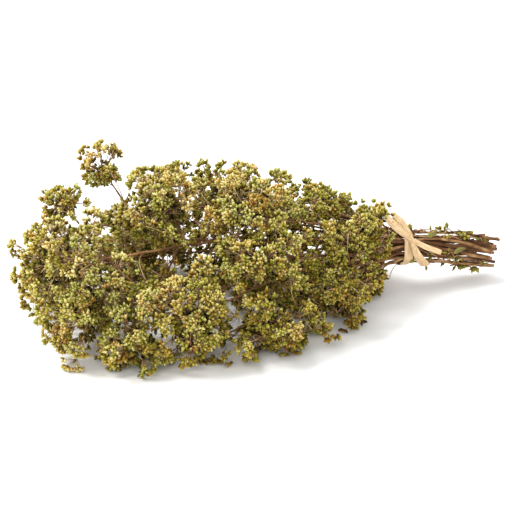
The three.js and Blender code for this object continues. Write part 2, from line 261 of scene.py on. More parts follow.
# ---- finishes -------------------------------------------------------------------------------------
@dataclass(frozen=True)
class PaletteFinish:
    """A dry plant finish. The surface's first palette number picks a tone and its second fades
    through the shades of that tone, from the innermost to the outermost: on the blooms that is
    painted shade inside the mass and at the bud feet through to painted light on exposed tips,
    on the woody stems random patches of their own colour.

    Fields: stops are (place, shades from the inside out); roughness, sheen and shine are the
    shader's own.
    """

    name: str
    stops: tuple[tuple[float, tuple[str, ...]], ...]
    roughness: float
    sheen: float = 0.0
    shine: float = 0.2

    def build(self) -> bpy.types.Material:
        """Makes the material."""
        material = bpy.data.materials.new(self.name)
        material.use_nodes = True
        tree = material.node_tree
        shader = tree.nodes["Principled BSDF"]
        shader.inputs["Roughness"].default_value = self.roughness
        shader.inputs["Sheen Weight"].default_value = self.sheen
        shader.inputs["Specular IOR Level"].default_value = self.shine
        palette = tree.nodes.new("ShaderNodeUVMap")
        palette.uv_map = PALETTE_MAP
        split = tree.nodes.new("ShaderNodeSeparateXYZ")
        tree.links.new(palette.outputs["UV"], split.inputs["Vector"])
        steps = len(self.stops[0][1]) - 1
        colour = self._ramp(tree, split, 0)
        for step in range(steps):
            fade = tree.nodes.new("ShaderNodeMapRange")
            fade.inputs["From Min"].default_value = step / steps
            fade.inputs["From Max"].default_value = (step + 1) / steps
            tree.links.new(split.outputs["Y"], fade.inputs["Value"])
            mix = tree.nodes.new("ShaderNodeMix")
            mix.data_type = "RGBA"
            tree.links.new(fade.outputs["Result"], mix.inputs[0])
            tree.links.new(colour, mix.inputs[6])
            tree.links.new(self._ramp(tree, split, step + 1), mix.inputs[7])
            colour = mix.outputs[2]
        tree.links.new(colour, shader.inputs["Base Color"])
        return material

    def _ramp(self, tree: bpy.types.NodeTree, split: bpy.types.Node, which: int) -> bpy.types.NodeSocket:
        """The row of tones in one of the shades."""
        ramp = tree.nodes.new("ShaderNodeValToRGB")
        elements = ramp.color_ramp.elements
        while len(elements) < len(self.stops):
            elements.new(0.5)
        for element, (place, shades) in zip(elements, self.stops):
            element.position = place
            element.color = shade(shades[which])
        tree.links.new(split.outputs["X"], ramp.inputs["Fac"])
        return ramp.outputs["Color"]


# The first part of the row is buds, from green through khaki and gold to brown; the last part is
# stalks, from red-brown to pale tan. In the bud stops the first shade is near-black painted shade,
# the second the colour in mid light and the third the palest painted light.
BUD_HUES = (0.02, 0.76)
STALK_TONES = (0.84, 0.98)
BLOOM_FINISH = PaletteFinish(
    "dry_oregano_bloom",
    (
        (0.00, ("181400", "888428", "cccc88")),
        (0.18, ("1c1800", "98902a", "dad68e")),
        (0.36, ("221a00", "ae9a34", "eee6a2")),
        (0.52, ("261a00", "b89836", "f6eaae")),
        (0.66, ("241400", "b08430", "e8c888")),
        (0.76, ("201200", "8a5c22", "c89a58")),
        (0.80, ("4a2410", "7c4a2c", "a06a44")),
        (0.88, ("6a4226", "a07650", "c09a70")),
        (0.98, ("a88456", "ccac7e", "e4cea2")),
    ),
    roughness=0.7,
)
STEM_FINISH = PaletteFinish(
    "dry_woody_stem",
    (
        (0.00, ("3a2014", "5e3e28")),
        (0.30, ("5e3a20", "8a6340")),
        (0.60, ("805a38", "ac8459")),
        (0.85, ("a07a50", "ccaa7c")),
        (1.00, ("cdb48c", "e8d6b4")),
    ),
    roughness=0.7,
)
LEAF_FINISH = PaletteFinish(
    "dry_leaf",
    ((0.0, ("3c3818", "625e30")), (0.5, ("565226", "827c42")), (1.0, ("786e3c", "a69a62"))),
    roughness=0.8,
)


@dataclass(frozen=True)
class RaffiaFinish:
    """Split palm leaf: straw, with fine fibres that run the length of the strip."""

    name: str = "raffia"
    dark: str = "c08c54"
    light: str = "f8dcac"
    fibres: float = 34.0
    roughness: float = 0.55

    def build(self) -> bpy.types.Material:
        """Makes the material: streaks are noise stretched along the strip's own map."""
        material = bpy.data.materials.new(self.name)
        material.use_nodes = True
        tree = material.node_tree
        shader = tree.nodes["Principled BSDF"]
        shader.inputs["Roughness"].default_value = self.roughness
        shader.inputs["Sheen Weight"].default_value = 0.2
        place = tree.nodes.new("ShaderNodeUVMap")
        place.uv_map = PALETTE_MAP
        stretch = tree.nodes.new("ShaderNodeMapping")
        stretch.inputs["Scale"].default_value = (self.fibres, 2.2, 1.0)
        tree.links.new(place.outputs["UV"], stretch.inputs["Vector"])
        noise = tree.nodes.new("ShaderNodeTexNoise")
        noise.inputs["Scale"].default_value = 2.4
        noise.inputs["Detail"].default_value = 4.0
        tree.links.new(stretch.outputs["Vector"], noise.inputs["Vector"])
        ramp = tree.nodes.new("ShaderNodeValToRGB")
        ramp.color_ramp.elements[0].position = 0.28
        ramp.color_ramp.elements[0].color = shade(self.dark)
        ramp.color_ramp.elements[1].position = 0.62
        ramp.color_ramp.elements[1].color = shade(self.light)
        tree.links.new(noise.outputs["Fac"], ramp.inputs["Fac"])
        tree.links.new(ramp.outputs["Color"], shader.inputs["Base Color"])
        bump = tree.nodes.new("ShaderNodeBump")
        bump.inputs["Strength"].default_value = 0.5
        bump.inputs["Distance"].default_value = 0.0002
        tree.links.new(noise.outputs["Fac"], bump.inputs["Height"])
        tree.links.new(bump.outputs["Normal"], shader.inputs["Normal"])
        return material


# ---- what the frame holds -------------------------------------------------------------------------
def node_mesh(name: str) -> tuple[np.ndarray, np.ndarray]:
    """A CAD node's corner points in millimetres and its triangles."""
    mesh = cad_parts[name].data
    points = np.empty(len(mesh.vertices) * 3, np.float32)
    mesh.vertices.foreach_get("co", points)
    mesh.calc_loop_triangles()
    triangles = np.empty(len(mesh.loop_triangles) * 3, np.int32)
    mesh.loop_triangles.foreach_get("vertices", triangles)
    return points.reshape(-1, 3).astype(float) / MM, triangles.reshape(-1, 3)


def rod_centres(name: str) -> tuple[np.ndarray, float]:
    """A CAD stem's centre line from its cut end, and its radius. The rod's corners fall in rings
    that are far apart along X, so each ring's mean is a point on the line."""
    points, _ = node_mesh(name)
    corners = np.unique(points.round(3), axis=0)
    corners = corners[np.argsort(-corners[:, 0])]
    breaks = np.flatnonzero(np.diff(corners[:, 0]) < -3.0) + 1
    rings = np.split(corners, breaks)
    centres = np.array([ring.mean(0) for ring in rings])
    radius = float(np.mean([np.linalg.norm(ring - ring.mean(0), axis=1).mean() for ring in rings]))
    return centres, radius


# ---- flower heads ---------------------------------------------------------------------------------
@dataclass
class Bud:
    """One dry flower bud: a spindle of two square rings, the second turned by an eighth of a turn,
    with one bract that stands open at its side. All sizes are shares of its length."""

    belly: float = 0.28
    belly_at: float = 0.36
    shoulder: float = 0.2
    shoulder_at: float = 0.72
    bract_lean: float = 0.75
    bract_length: float = 0.55
    bract_width: float = 0.36
    bract_bulge: float = 0.12

    def template(self) -> tuple[Surface, np.ndarray]:
        """The bud of unit length along +Z from the origin, and how near the tip each point is: the palette
        turns that into painted shade at the foot and painted light at the tip.
        """
        corner = np.arange(4) * math.pi / 2
        first = np.stack([np.cos(corner), np.sin(corner), 0 * corner], -1) * self.belly
        second = np.stack([np.cos(corner + math.pi / 4), np.sin(corner + math.pi / 4), 0 * corner], -1)
        first[:, 2] = self.belly_at
        second = second * self.shoulder
        second[:, 2] = self.shoulder_at
        out = np.array([math.sin(self.bract_lean), 0.0, math.cos(self.bract_lean)])
        back = np.array([out[2], 0.0, -out[0]])
        root = np.array([0.06, 0.0, 0.1])
        middle = root + out * self.bract_length * 0.5
        half = np.array([0.0, self.bract_width / 2, 0.0])
        points = np.vstack([[0, 0, 0], first, second, [0, 0, 1], root, middle - half, middle + half,
                            root + out * self.bract_length + back * self.bract_bulge])
        ring = np.arange(4)
        after = (ring + 1) % 4
        spindle = np.vstack([
            np.stack([0 * ring, 1 + ring, 1 + after], -1), np.stack([1 + ring, 1 + after, 5 + ring], -1),
            np.stack([1 + after, 5 + ring, 5 + after], -1),
            np.stack([5 + ring, 5 + after, 9 + 0 * ring], -1)])
        bract = np.array([[10, 11, 12], [10, 11, 13], [10, 12, 13], [11, 12, 13]])
        nearness = np.array([0.0, 0.3, 0.5, 0.3, 0.5, 0.7, 0.6, 0.7, 0.6, 1.0, 0.1, 0.6, 0.6, 1.0])
        blank = np.zeros((len(points), 2))
        parts = [face_outwards(Surface(points, faces, blank), len(faces)).triangles
                 for faces in (spindle, bract)]
        return Surface(points, np.vstack(parts), blank), nearness

    def place(self, at: np.ndarray, axis: np.ndarray, length: np.ndarray, hue: np.ndarray, painted_light: np.ndarray,
              rng: np.random.Generator) -> Surface:
        """Copies of the bud, each turned to its axis with a random roll.

        Args:
            at: where each bud's foot is, one a row.
            axis: which way each points.
            length: how long each is.
            hue: from 0 (green) through 0.5 (straw) to 1 (brown).
            painted_light: how much painted light each bud gets, from 0 to 1, which makes its tip paler.
            rng: the source of rolls.

        Returns:
            All the buds as one surface.
        """
        bud, nearness = self.template()
        count = len(at)
        z = unit(axis)
        x = unit(np.cross(z, unit(rng.normal(size=(count, 3)))))
        basis = np.stack([x, np.cross(z, x), z], axis=1) * length[:, None, None]
        points = np.einsum("vi,nij->nvj", bud.points, basis) + at[:, None]
        triangles = bud.triangles[None] + (np.arange(count) * len(bud.points))[:, None, None]
        low, high = BUD_HUES
        palette = np.empty((count, len(bud.points), 2))
        palette[..., 0] = (low + (high - low) * np.clip(hue, 0, 1))[:, None]
        # Painted shade and light: dark at each bud's foot, paler towards its tip, and paler again with more
        # painted light.
        palette[..., 1] = np.clip(nearness[None] ** 1.2 * (0.4 + 0.9 * painted_light[:, None]), 0, 1)
        return Surface(points.reshape(-1, 3), triangles.reshape(-1, 3), palette.reshape(-1, 2))


def face_outwards(surface: Surface, faces_each: int) -> Surface:
    """Turns the triangles of each small convex shell so that they face away from its middle.

    Args:
        surface: shells one after another.
        faces_each: triangles in one shell.

    Returns:
        The same surface with every triangle facing out.
    """
    corners = surface.points[surface.triangles]
    middles = corners.reshape(-1, faces_each * 3, 3).mean(1)
    away = corners.mean(1) - np.repeat(middles, faces_each, axis=0)
    normal = np.cross(corners[:, 1] - corners[:, 0], corners[:, 2] - corners[:, 0])
    wrong = (normal * away).sum(1) < 0
    surface.triangles[wrong] = surface.triangles[wrong][:, ::-1]
    return surface


def distances(a: np.ndarray, b: np.ndarray) -> np.ndarray:
    """The distance from each point of a to each point of b: the root of a.a + b.b - 2 a.b."""
    squares = (a * a).sum(1)[:, None] + (b * b).sum(1)[None] - 2 * a @ b.T
    return np.sqrt(np.maximum(squares, 0))


@dataclass
class Outline:
    """Places spread over the outside of one CAD head, which way it faces at each, and which of them
    are pressed against another head."""

    places: np.ndarray
    normals: np.ndarray
    area: float
    buried: np.ndarray


def read_outlines(numbers: list[int], gap: float, press: float) -> dict[int, Outline]:
    """Spreads places over every CAD head: many by area, then one for each small cube.

    Args:
        numbers: the heads.
        gap: the side of a cube.
        press: a place this near to a place of another head is buried.

    Returns:
        Each head's outline.
    """
    outlines = {}
    for number in numbers:
        rng = np.random.default_rng(100 + number)
        points, triangles = node_mesh(f"head_{number:02d}")
        a, b, c = points[triangles[:, 0]], points[triangles[:, 1]], points[triangles[:, 2]]
        normal = np.cross(b - a, c - a)
        area = np.linalg.norm(normal, axis=1) / 2
        face = rng.choice(len(area), int(area.sum() / gap**2 * 6), p=area / area.sum())
        u, v = rng.random((2, len(face)))
        flip = u + v > 1
        u, v = np.where(flip, 1 - u, u), np.where(flip, 1 - v, v)
        places = a[face] + u[:, None] * (b - a)[face] + v[:, None] * (c - a)[face]
        _, first = np.unique(np.floor(places / gap).astype(int), axis=0, return_index=True)
        outlines[number] = Outline(places[first], unit(normal)[face[first]], float(area.sum()),
                                   np.zeros(0, bool))
    for number, outline in outlines.items():
        others = np.vstack([other.places for key, other in outlines.items() if key != number])
        outline.buried = distances(outline.places, others).min(1) < press
    return outlines


@dataclass
class FlowerHead:
    """A branched flower head. Its clumps are domes of small cymes on fine rays that spring from one
    joint, and the joints are carried by branches that leave the stem one after another.

    Fields ending in _share are parts of one, the others are sizes in millimetres or counts.
    """

    number: int
    clump_area: float = 225.0
    clump_shrink: float = 0.66
    clump_sway: float = 6.0
    clump_shift: tuple[float, float] = (-13.0, 8.0)
    end_room: float = 22.0
    dome_share: float = 0.65
    hollow: float = 0.08
    buried_kept: float = 0.12
    ray_radius: float = 0.2
    branch_radius: float = 0.42
    joint_depth: float = 7.0
    buds_in_cyme: int = 4
    brown_share: float = 0.12
    faded_share: float = 0.05
    bud_length: tuple[float, float] = (2.8, 4.3)
    inner_share: float = 0.14
    sprays: int = 6
    spray_reach: tuple[float, float] = (4.0, 13.0)
    loose: bool = True
    loose_above: float = 46.0
    loose_before: float = -62.0
    ground_zone: float = 6.0
    ground_clear: float = 2.0
    bud: Bud = field(default_factory=Bud)

    @property
    def label(self) -> str:
        """The two digits that the CAD nodes of this sprig end in."""
        return f"{self.number:02d}"

    def clumps(self, places: np.ndarray, count: int, rng: np.random.Generator) -> np.ndarray:
        """Sorts the places into clumps: each goes to the nearest middle, and each middle moves to the
        mean of its places, a few times over.

        Args:
            places: one a row.
            count: how many clumps.
            rng: the source of the first middles.

        Returns:
            Each place's clump number.
        """
        middles = places[rng.choice(len(places), count, replace=False)]
        for _ in range(5):
            owner = np.argmin(distances(places, middles), axis=1)
            middles = np.array([places[owner == k].mean(0) if (owner == k).any() else middles[k]
                                for k in range(count)])
        return owner

    def stalk_rods(self, start: np.ndarray, bend: np.ndarray, end: np.ndarray, radius: tuple[float, float],
                   tone: tuple[float, float], steps: int, sides: int) -> Surface:
        """Curved stalks that thin towards their ends.

        Args:
            start: where each stalk starts.
            bend: what each bends towards.
            end: where each ends.
            radius: at the start and at the end.
            tone: palette tone at the start and at the end, from 0 (red-brown) to 1 (tan).
            steps: points along a stalk.
            sides: corners of its section.

        Returns:
            The stalks as one surface.
        """
        paths = bezier(start, bend, end, steps)
        share = np.linspace(0, 1, steps)[None, :] * np.ones((len(start), 1))
        low, high = STALK_TONES
        tones = low + (high - low) * (tone[0] + (tone[1] - tone[0]) * share)
        # The second palette number runs from 0 at the start to 1 at the end: painted shade where the stalk
        # starts inside the clump or the mass, paler towards its end.
        return rods(paths, radius[0] + (radius[1] - radius[0]) * share, sides, tones, share)

    def cymes(self, at: np.ndarray, out: np.ndarray, hue: float, painted_light: np.ndarray,
              rng: np.random.Generator) -> Surface:
        """A tuft of buds at each place: one straight out, the others leaning all round it.

        Args:
            at: one place a row.
            out: which way each tuft faces.
            hue: the clump's hue.
            painted_light: how much painted light each tuft gets; each bud adds a random spread.
            rng: the source of the small differences.

        Returns:
            The buds as one surface.
        """
        count = len(at)
        z = unit(out)
        x = unit(np.cross(z, unit(rng.normal(size=(count, 3)))))
        y = np.cross(z, x)
        tuft_hue = hue + rng.normal(0, 0.07, count)
        browner = rng.uniform(0.2, 0.4, count)
        tuft_hue = tuft_hue + browner * (rng.random(count) < self.brown_share)
        feet, axes, lengths, hues, painted_lights = [], [], [], [], []
        for j in range(self.buds_in_cyme):
            lean = rng.uniform(0.4, 0.9, count) if j else rng.uniform(0.0, 0.2, count)
            turn = j * 2 * math.pi / (self.buds_in_cyme - 1) + rng.normal(0, 0.3, count)
            flat = x * np.cos(turn)[:, None] + y * np.sin(turn)[:, None]
            axis = z * np.cos(lean)[:, None] + flat * np.sin(lean)[:, None]
            keep = rng.random(count) > 0.1
            foot = at + axis * rng.uniform(0.2, 1.0, (count, 1))
            low = foot[:, 2] < self.ground_zone
            axis[low, 2] = np.maximum(axis[low, 2], -0.15)
            foot[:, 2] = np.maximum(foot[:, 2], self.ground_clear)
            feet.append(foot[keep])
            axes.append(axis[keep])
            lengths.append(rng.uniform(*self.bud_length, count)[keep])
            faded = rng.random(count) < self.faded_share
            brown = rng.uniform(0.8, 1.0, count)
            usual = tuft_hue + rng.normal(0, 0.09, count)
            hues.append(np.where(faded, brown, usual)[keep])
            painted_lights.append((painted_light + rng.normal(0, 0.2, count))[keep])
        return self.bud.place(np.vstack(feet), np.vstack(axes), np.concatenate(lengths),
                              np.concatenate(hues), np.concatenate(painted_lights), rng)

    def painted_light_at(self, at: np.ndarray, out: np.ndarray) -> np.ndarray:
        """Painted light on each tuft: paler where it faces up, high in the bunch and towards its far end, as
        if lit from above and from the flower end.
        """
        up = 0.5 + 0.5 * unit(out)[:, 2]
        end = np.clip((-30.0 - at[:, 0]) / 110.0, 0, 1)
        return 0.16 + 0.28 * up + 0.27 * np.clip(at[:, 2] / 90.0, 0, 1) + 0.2 * end

    def loose_end(self, at: np.ndarray) -> np.ndarray:
        """The share of tufts that stand at each place: all of them but for the upper side of the far
        end, where it falls with height and towards the end."""
        height = np.clip((at[:, 2] - self.loose_above) / 40.0, 0, 1)
        end = np.clip((self.loose_before - at[:, 0]) / 50.0, 0, 1)
        return 1 - 0.8 * height * end

    def clump_hue(self, rng: np.random.Generator) -> float:
        """One clump's hue: green, straw or gold."""
        return float(rng.choice([0.2, 0.42, 0.6], p=[0.42, 0.4, 0.18]) + rng.normal(0, 0.05))

    def branch_foot(self, joint: np.ndarray, stem_end: np.ndarray, stem_way: np.ndarray) -> np.ndarray:
        """Where a branch leaves the stem or its continuation: short of the joint, so that it leans on."""
        ahead = float(np.dot(joint - stem_end, stem_way))
        aside = float(np.linalg.norm(joint - stem_end - ahead * stem_way))
        return stem_end + stem_way * min(max(ahead - 0.9 * aside - 4.0, -24.0), ahead)

    def clump(self, head: Fabric, joint: np.ndarray, foot: np.ndarray, seats: np.ndarray, painted_light: float,
              rng: np.random.Generator) -> None:
        """Adds one clump: a tuft over each seat, pulled onto a dome round the joint, on its own ray.

        Args:
            head: the mesh being gathered.
            joint: where the rays spring from.
            foot: where the joint's branch leaves the stem.
            seats: roughly where the tufts go, one a row.
            painted_light: how much more painted light than usual the clump gets.
            rng: the source of the small differences.
        """
        rays = seats - joint
        reach = np.linalg.norm(rays, axis=1)
        way = unit(rays)
        dome = (1 - self.dome_share) * reach + self.dome_share * np.median(reach)
        dome = dome + rng.normal(0, 1.0, len(reach))
        tips = joint + way * dome[:, None]
        tips[:, 2] = np.maximum(tips[:, 2], self.ground_clear)
        climb = unit(joint - foot)
        bend = joint + climb * 0.3 * dome[:, None] + way * 0.3 * dome[:, None]
        out = unit(way + 0.3 * climb)
        head.add(self.cymes(tips, out, self.clump_hue(rng), self.painted_light_at(tips, out) + painted_light, rng))
        head.add(self.stalk_rods(np.broadcast_to(joint, tips.shape), bend, tips,
                                 (self.ray_radius, self.ray_radius * 0.7), (0.5, 0.95), 2, 3))

    def sprays_on(self, head: Fabric, places: np.ndarray, normals: np.ndarray, joints: list[np.ndarray],
                  foots: list[np.ndarray], rng: np.random.Generator) -> None:
        """Adds small loose clumps that stand out past the others on longer stalks.

        Args:
            head: the mesh being gathered.
            places: places on the outside of the head.
            normals: which way the outside faces there.
            joints: the joints so far; each spray adds its own.
            foots: where their branches start, in the same order.
            rng: the source of the choices.
        """
        chosen = rng.choice(len(places), min(self.sprays, len(places)), replace=False)
        for at, out in zip(places[chosen], normals[chosen]):
            if at[2] < 12 and out[2] < 0:
                continue
            nearest = int(np.argmin([np.linalg.norm(at - joint) for joint in joints]))
            joint = at + out * (rng.uniform(*self.spray_reach) - 5.0)
            joint[0] = max(joint[0], BUNCH_END + self.end_room / 2)
            count = rng.integers(4, 9)
            seats = joint + unit(out + 0.75 * rng.normal(size=(count, 3))) * rng.uniform(2.8, 5.4, (count, 1))
            # Painted light: sprays stand out past the clumps, so they are made a little paler.
            self.clump(head, joint, joints[nearest], seats, rng.normal(0.08, 0.1), rng)
            joints.append(joint)
            foots.append(foots[nearest])

    def inner_tufts(self, head: Fabric, places: np.ndarray, centre: np.ndarray,
                    rng: np.random.Generator) -> None:
        """Adds the tufts that fill the inside of the head, darkened with painted shade.

        Args:
            head: the mesh being gathered.
            places: places on the outside of the head.
            centre: the head's middle.
            rng: the source of the choices.
        """
        chosen = rng.choice(len(places), int(len(places) * self.inner_share), replace=False)
        share = rng.uniform(0.4, 0.72, (len(chosen), 1))
        at = centre + (places[chosen] - centre) * share + rng.normal(0, 1.2, (len(chosen), 3))
        out = unit(places[chosen] - centre + rng.normal(0, 4, at.shape))
        # Painted shade: the inner tufts get far less painted light than the outer ones.
        head.add(self.cymes(at, out, 0.45, rng.normal(-0.22, 0.06, len(at)), rng))
        inner = centre + (at - centre) * 0.3
        head.add(self.stalk_rods(inner, (inner + at) / 2 + rng.normal(0, 1, at.shape), at,
                                 (self.ray_radius, self.ray_radius * 0.8), (0.2, 0.6), 3, 3))

    def build(self, outline: Outline, material: bpy.types.Material) -> bpy.types.Object:
        """Makes the head: buds, rays and branches in one piece.

        Args:
            outline: the places on its outside.
            material: the bloom finish.

        Returns:
            The head.
        """
        rng = np.random.default_rng(200 + self.number)
        kept = ~outline.buried | (rng.random(len(outline.places)) < self.buried_kept)
        under = (outline.places[:, 2] < 0.5) & (rng.random(len(outline.places)) > 0.35)
        kept &= ~under
        if self.loose:
            kept &= rng.random(len(kept)) < self.loose_end(outline.places)
        places, normals = outline.places[kept], outline.normals[kept]
        count = max(3, round(outline.area * kept.mean() / self.clump_area))
        owner = self.clumps(places, count, rng)
        line, radius = rod_centres(f"stem_{self.label}")
        stem_end, stem_way = line[-1], unit(line[-1] - line[-2])
        centre = places.mean(0)
        head = Fabric()
        joints, foots = [], []
        for k in range(count):
            mine = owner == k
            if mine.sum() < 3 or (len(joints) > 3 and rng.random() < self.hollow):
                continue
            middle = places[mine].mean(0)
            facing = unit(normals[mine].mean(0) + 0.35 * unit(middle - stem_end))
            outward = float(np.clip(rng.normal(-1.5, self.clump_sway), *self.clump_shift))
            shift = facing * (min(outward, 0.0) if middle[0] < BUNCH_END + self.end_room else outward)
            joint = middle + shift - facing * self.joint_depth
            joint[2] = max(joint[2], 3.0)
            foot = self.branch_foot(joint, stem_end, stem_way)
            joints.append(joint)
            foots.append(foot)
            shrink = self.clump_shrink * rng.uniform(0.85, 1.15)
            seats = middle + (places[mine] - middle) * shrink + shift
            # Painted light: paler where the clump stands further out, darker where it is pushed in, plus a
            # random spread from clump to clump.
            self.clump(head, joint, foot, seats, rng.normal(0, 0.18) + 0.02 * float(shift @ facing), rng)
        outer = ~outline.buried[kept]
        self.sprays_on(head, places[outer], normals[outer], joints, foots, rng)
        self.inner_tufts(head, places, centre, rng)
        starts, ends = np.array(foots), np.array(joints)
        ends_way = unit(ends - starts)
        bends = starts + stem_way * 0.45 * np.linalg.norm(ends - starts, axis=1)[:, None]
        thinning = (self.branch_radius, self.ray_radius * 1.4)
        head.add(self.stalk_rods(starts, bends, ends + ends_way * 0.3, thinning, (0.15, 0.8), 7, 4))
        furthest = max(0.0, float(((starts - stem_end) @ stem_way).max()))
        tip = (stem_end + stem_way * (furthest + 0.5))[None]
        foot = (stem_end - stem_way * 0.5)[None]
        thinning = (radius * 0.55, self.branch_radius)
        head.add(self.stalk_rods(foot, (tip + foot) / 2, tip, thinning, (0.0, 0.3), 5, 6))
        return head.piece(f"blooms_{self.label}", Slot.FLOWER_HEAD, material, [f"head_{self.label}"])


@dataclass
class SideBranches:
    """Clumps on branches that leave a stem below its head. They stand in the gaps between the heads,
    so that the bunch is one loose mass."""

    spacing: float = 18.5
    near: float = 3.5
    far: float = 15.0
    skin: float = 26.0
    inset: float = 2.0
    tries: int = 9000
    radius: tuple[float, float] = (4.8, 7.6)
    cymes: tuple[int, int] = (8, 14)
    branch_radius: float = 0.38
    bare_before: float = -78.0
    bare_above: float = 52.0

    def gaps(self, outlines: dict[int, Outline], rng: np.random.Generator) -> np.ndarray:
        """Places between the heads. A place counts when it lies outside every head, near one of them,
        and not far inside the mass: in every direction the mass reaches further than the place does.

        Args:
            outlines: the heads' outlines.
            rng: the source of the places tried.

        Returns:
            The places, no two nearer than the spacing.
        """
        mass = np.vstack([outline.places for key, outline in outlines.items() if key not in LONERS])
        places = np.vstack([outline.places for outline in outlines.values()])
        normals = np.vstack([outline.normals for outline in outlines.values()])
        ways = unit(rng.normal(size=(260, 3)))
        edge = (mass @ ways.T).max(0)
        tried = rng.uniform(mass.min(0), mass.max(0), (self.tries, 3))
        depth = (edge[None] - tried @ ways.T).min(1)
        tried = tried[(depth > self.inset) & (depth < self.skin)]
        apart = distances(tried, places)
        nearest = apart.argmin(1)
        distance = apart[np.arange(len(tried)), nearest]
        outside = ((tried - places[nearest]) * normals[nearest]).sum(1) > 0.3 * distance
        corner = (tried[:, 0] < self.bare_before) & (tried[:, 2] > self.bare_above)
        wanted = outside & ~corner & (distance > self.near) & (distance < self.far) & (tried[:, 2] > 5)
        tried = tried[wanted]
        chosen = np.empty((0, 3))
        for place in tried:
            if len(chosen) == 0 or np.linalg.norm(chosen - place, axis=1).min() > self.spacing:
                chosen = np.vstack([chosen, place])
        return chosen

    def build(self, outlines: dict[int, Outline], material: bpy.types.Material) -> None:
        """Makes the branches, one piece for each stem that has any. A branch leaves the stem point
        that is nearest among those it can lean forward from.

        Args:
            outlines: the heads' outlines.
            material: the bloom finish.
        """
        rng = np.random.default_rng(40)
        joints = self.gaps(outlines, rng)
        lines = {number: spline(rod_centres(f"stem_{number:02d}")[0], 120) for number in outlines}
        ways = {number: unit(np.gradient(line, axis=0)) for number, line in lines.items()}
        points, along = np.vstack(list(lines.values())), np.vstack(list(ways.values()))
        owner = np.repeat(list(lines), 120)
        middle = np.vstack([outline.places for outline in outlines.values()]).mean(0)
        sprigs: dict[int, Fabric] = {}
        for joint in joints:
            step = joint - points
            distance = np.linalg.norm(step, axis=1)
            forward = (step * along).sum(1) / np.maximum(distance, 1e-6)
            best = int(np.argmin(distance + 60.0 * (forward < 0.45)))
            number = int(owner[best])
            sprig = sprigs.setdefault(number, Fabric())
            head = FlowerHead(number)
            outward = joint - middle
            outward[0] *= 0.35
            facing = unit(unit(outward) + 0.5 * unit(step[best]))
            count = int(rng.integers(*self.cymes))
            spread = unit(facing + 0.62 * rng.normal(size=(count, 3)))
            seats = joint + spread * rng.uniform(*self.radius)
            head.clump(sprig, joint, points[best], seats, rng.normal(-0.04, 0.12), rng)
            bend = points[best] + along[best] * 0.45 * distance[best]
            sprig.add(head.stalk_rods(points[best][None], bend[None], joint[None],
                                      (self.branch_radius, 0.22), (0.1, 0.7), 8, 4))
        for number, sprig in sorted(sprigs.items()):
            sprig.piece(f"side_branches_{number:02d}", Slot.FLOWER_HEAD, material, [])


# ---- stems ----------------------------------------------------------------------------------------
@dataclass
class Stem:
    """A dry woody stem: four blunt ridges, swollen joints, slight kinks and a pale cut end. The short
    side shoots with a few buds on the stretch under the flowers are made apart, by SideShoots."""

    number: int
    steps: int = 90
    sides: int = 10
    ridge: float = 0.08
    joint_gap: float = 19.0
    joint_swell: float = 0.34
    thin_end: float = 0.55
    kink: float = 0.42

    @property
    def label(self) -> str:
        """The two digits that the CAD node of this stem ends in."""
        return f"{self.number:02d}"

    def centre_line(self, rng: np.random.Generator) -> tuple[np.ndarray, float]:
        """The CAD stem's own line with small kinks added.

        Args:
            rng: the source of the kinks.

        Returns:
            Points from the cut end to the flowers, and the stem's radius.
        """
        centres, radius = rod_centres(f"stem_{self.label}")
        line = spline(centres, self.steps)
        length = np.linalg.norm(np.diff(line, axis=0), axis=1).sum()
        turns = max(6, round(length / (self.joint_gap / 2)))
        share = np.linspace(0, 1, self.steps)
        offsets = rng.normal(0, self.kink, (turns, 3))
        offsets[:, 0] = 0
        wander = np.stack([np.interp(share, np.linspace(0, 1, turns), offset) for offset in offsets.T], -1)
        return line + wander * np.minimum(1, 4 * (1 - share))[:, None], radius

    def build(self, material: bpy.types.Material) -> bpy.types.Object:
        """Makes the stem: the radius falls towards the flowers, swells at each joint and follows
        one plus a small share of the cosine of four times the angle.

        Args:
            material: the stem finish.

        Returns:
            The stem.
        """
        rng = np.random.default_rng(500 + self.number)
        line, radius = self.centre_line(rng)
        length = np.concatenate([[0], np.cumsum(np.linalg.norm(np.diff(line, axis=0), axis=1))])
        share = length / length[-1]
        phase = rng.uniform(0, self.joint_gap)
        off = np.abs((length + phase) % self.joint_gap - self.joint_gap / 2)
        swell = 1 + self.joint_swell * np.exp(-((off / 1.3) ** 2))
        thick = radius * (1.04 - (1.04 - self.thin_end) * share) * swell
        angle = np.linspace(0, 2 * math.pi, self.sides, endpoint=False)
        section = 1 + self.ridge * np.cos(4 * angle) + rng.normal(0, 0.025, (self.steps, self.sides))
        radii = (thick[:, None] * section)[None]
        own_tone = rng.uniform(0.12, 0.72)
        patches = spline(rng.normal(own_tone, 0.16, (26, 1)), self.steps)[:, 0]
        tone = np.clip(patches - 0.25 * (swell - 1) / self.joint_swell, 0.02, 0.84)[None]
        depth = np.clip(spline(rng.normal(0.5, 0.3, (30, 1)), self.steps)[:, 0], 0, 1)[None]
        bark = rods(line[None], radii, self.sides, tone, depth)
        bark.palette[-2] = (0.98, 0.8)
        whole = Fabric()
        whole.add(bark)
        piece = whole.piece(f"woody_stem_{self.label}", Slot.STEM, material, [f"stem_{self.label}"])
        smooth(piece)
        return piece


